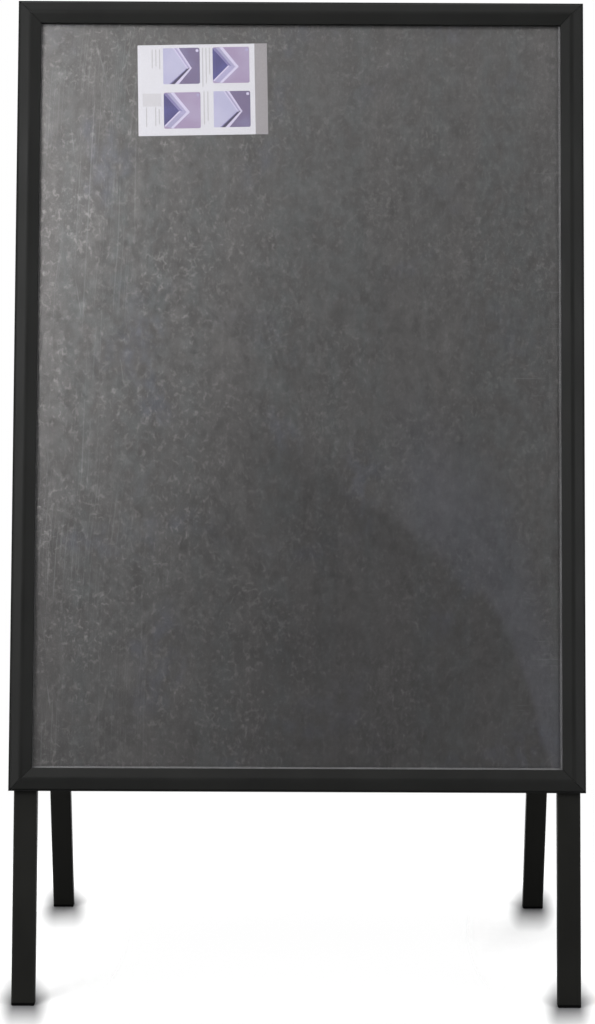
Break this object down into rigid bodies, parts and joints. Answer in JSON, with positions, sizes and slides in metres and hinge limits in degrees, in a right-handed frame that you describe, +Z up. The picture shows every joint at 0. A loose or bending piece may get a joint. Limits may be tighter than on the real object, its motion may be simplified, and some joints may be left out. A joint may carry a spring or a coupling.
{
  "type": "double-sided poster stand",
  "caption": "A-shaped folding pavement stand with a mitred snap frame on each side, full-length legs, top hinges and folding stays.",
  "frame": {"origin": "on the floor under the hinge line, midway between the feet", "axes": "+Z up, -Y towards the front side with the leaflet, +X to the right as seen from the front"},
  "size_m": [0.624, 0.4546, 1.0824],
  "materials": {
    "frame_aluminium": "satin black coating",
    "black_steel": "satin black paint",
    "black_plastic": "moulded, matt",
    "galvanised_steel": "hot-dip galvanised, spangled",
    "zinc_plated_steel": "bright zinc plate",
    "spring_steel": "polished strip",
    "rivet_aluminium": "plain",
    "clear_plastic": "clear, anti-glare",
    "printed_card": "coated card, printed",
    "white_nylon": "natural nylon"
  },
  "bodies": {
    "front_side": {"front_base_left": "frame_aluminium", "front_base_right": "frame_aluminium", "front_base_top": "frame_aluminium", "front_base_bottom": "frame_aluminium", "front_corner_keys": "zinc_plated_steel", "front_leaf_springs": "spring_steel", "front_back_panel": "galvanised_steel", "front_clear_sheet": "clear_plastic", "front_leaflet": "printed_card", "front_leg_left": "black_steel", "front_leg_right": "black_steel", "front_foot_left": "black_plastic", "front_foot_right": "black_plastic", "front_top_caps": "black_plastic", "front_frame_rivets": "rivet_aluminium", "front_hinge_leaf_left": "black_steel", "front_hinge_leaf_right": "black_steel", "front_hinge_rivets": "rivet_aluminium", "hinge_pin_left": "zinc_plated_steel", "hinge_pin_right": "zinc_plated_steel", "stay_pivot_rivets": "zinc_plated_steel", "stay_washers": "white_nylon"},
    "rear_side": {"rear_base_left": "frame_aluminium", "rear_base_right": "frame_aluminium", "rear_base_top": "frame_aluminium", "rear_base_bottom": "frame_aluminium", "rear_corner_keys": "zinc_plated_steel", "rear_leaf_springs": "spring_steel", "rear_back_panel": "galvanised_steel", "rear_clear_sheet": "clear_plastic", "rear_leg_left": "black_steel", "rear_leg_right": "black_steel", "rear_foot_left": "black_plastic", "rear_foot_right": "black_plastic", "rear_top_caps": "black_plastic", "rear_frame_rivets": "rivet_aluminium", "rear_hinge_leaf_left": "black_steel", "rear_hinge_leaf_right": "black_steel", "rear_hinge_rivets": "rivet_aluminium"},
    "front_cover_left": {"front_cover_left": "frame_aluminium"},
    "front_cover_right": {"front_cover_right": "frame_aluminium"},
    "front_cover_top": {"front_cover_top": "frame_aluminium"},
    "front_cover_bottom": {"front_cover_bottom": "frame_aluminium"},
    "rear_cover_left": {"rear_cover_left": "frame_aluminium"},
    "rear_cover_right": {"rear_cover_right": "frame_aluminium"},
    "rear_cover_top": {"rear_cover_top": "frame_aluminium"},
    "rear_cover_bottom": {"rear_cover_bottom": "frame_aluminium"},
    "stay_left": {"stay_left": "black_steel", "stay_stud_left": "zinc_plated_steel"},
    "stay_right": {"stay_right": "black_steel", "stay_stud_right": "zinc_plated_steel"}
  },
  "joints": [
    {"name": "fold", "type": "hinge", "parent": "front_side", "child": "rear_side", "pos_m": [0, 0, 1.06971], "axis": [-1, 0, 0], "range_deg": [0, 22]},
    {"name": "front_cover_left_swing", "type": "hinge", "parent": "front_side", "child": "front_cover_left", "pos_m": [-0.308, -0.1068, 0.65497], "axis": [0, -0.1908, -0.9816], "range_deg": [0, 90]},
    {"name": "front_cover_right_swing", "type": "hinge", "parent": "front_side", "child": "front_cover_right", "pos_m": [0.308, -0.1068, 0.65497], "axis": [0, 0.1908, 0.9816], "range_deg": [0, 90]},
    {"name": "front_cover_top_swing", "type": "hinge", "parent": "front_side", "child": "front_cover_top", "pos_m": [0, -0.02446, 1.07854], "axis": [-1, 0, 0], "range_deg": [0, 90]},
    {"name": "front_cover_bottom_swing", "type": "hinge", "parent": "front_side", "child": "front_cover_bottom", "pos_m": [0, -0.18913, 0.2314], "axis": [1, 0, 0], "range_deg": [0, 90]},
    {"name": "rear_cover_left_swing", "type": "hinge", "parent": "rear_side", "child": "rear_cover_left", "pos_m": [-0.308, 0.1068, 0.65497], "axis": [0, -0.1908, 0.9816], "range_deg": [0, 90]},
    {"name": "rear_cover_right_swing", "type": "hinge", "parent": "rear_side", "child": "rear_cover_right", "pos_m": [0.308, 0.1068, 0.65497], "axis": [0, 0.1908, -0.9816], "range_deg": [0, 90]},
    {"name": "rear_cover_top_swing", "type": "hinge", "parent": "rear_side", "child": "rear_cover_top", "pos_m": [0, 0.02446, 1.07854], "axis": [1, 0, 0], "range_deg": [0, 90]},
    {"name": "rear_cover_bottom_swing", "type": "hinge", "parent": "rear_side", "child": "rear_cover_bottom", "pos_m": [0, 0.18913, 0.2314], "axis": [-1, 0, 0], "range_deg": [0, 90]},
    {"name": "stay_left_swing", "type": "hinge", "parent": "front_side", "child": "stay_left", "pos_m": [-0.2791, -0.07249, 0.75782], "axis": [-1, 0, 0], "range_deg": [0, 44]},
    {"name": "stay_right_swing", "type": "hinge", "parent": "front_side", "child": "stay_right", "pos_m": [0.2791, -0.07249, 0.75782], "axis": [-1, 0, 0], "range_deg": [0, 44]}
  ],
  "couplings": [
    {"joint": "stay_left_swing", "follows": "fold", "ratio": 2},
    {"joint": "stay_right_swing", "follows": "fold", "ratio": 2}
  ]
}
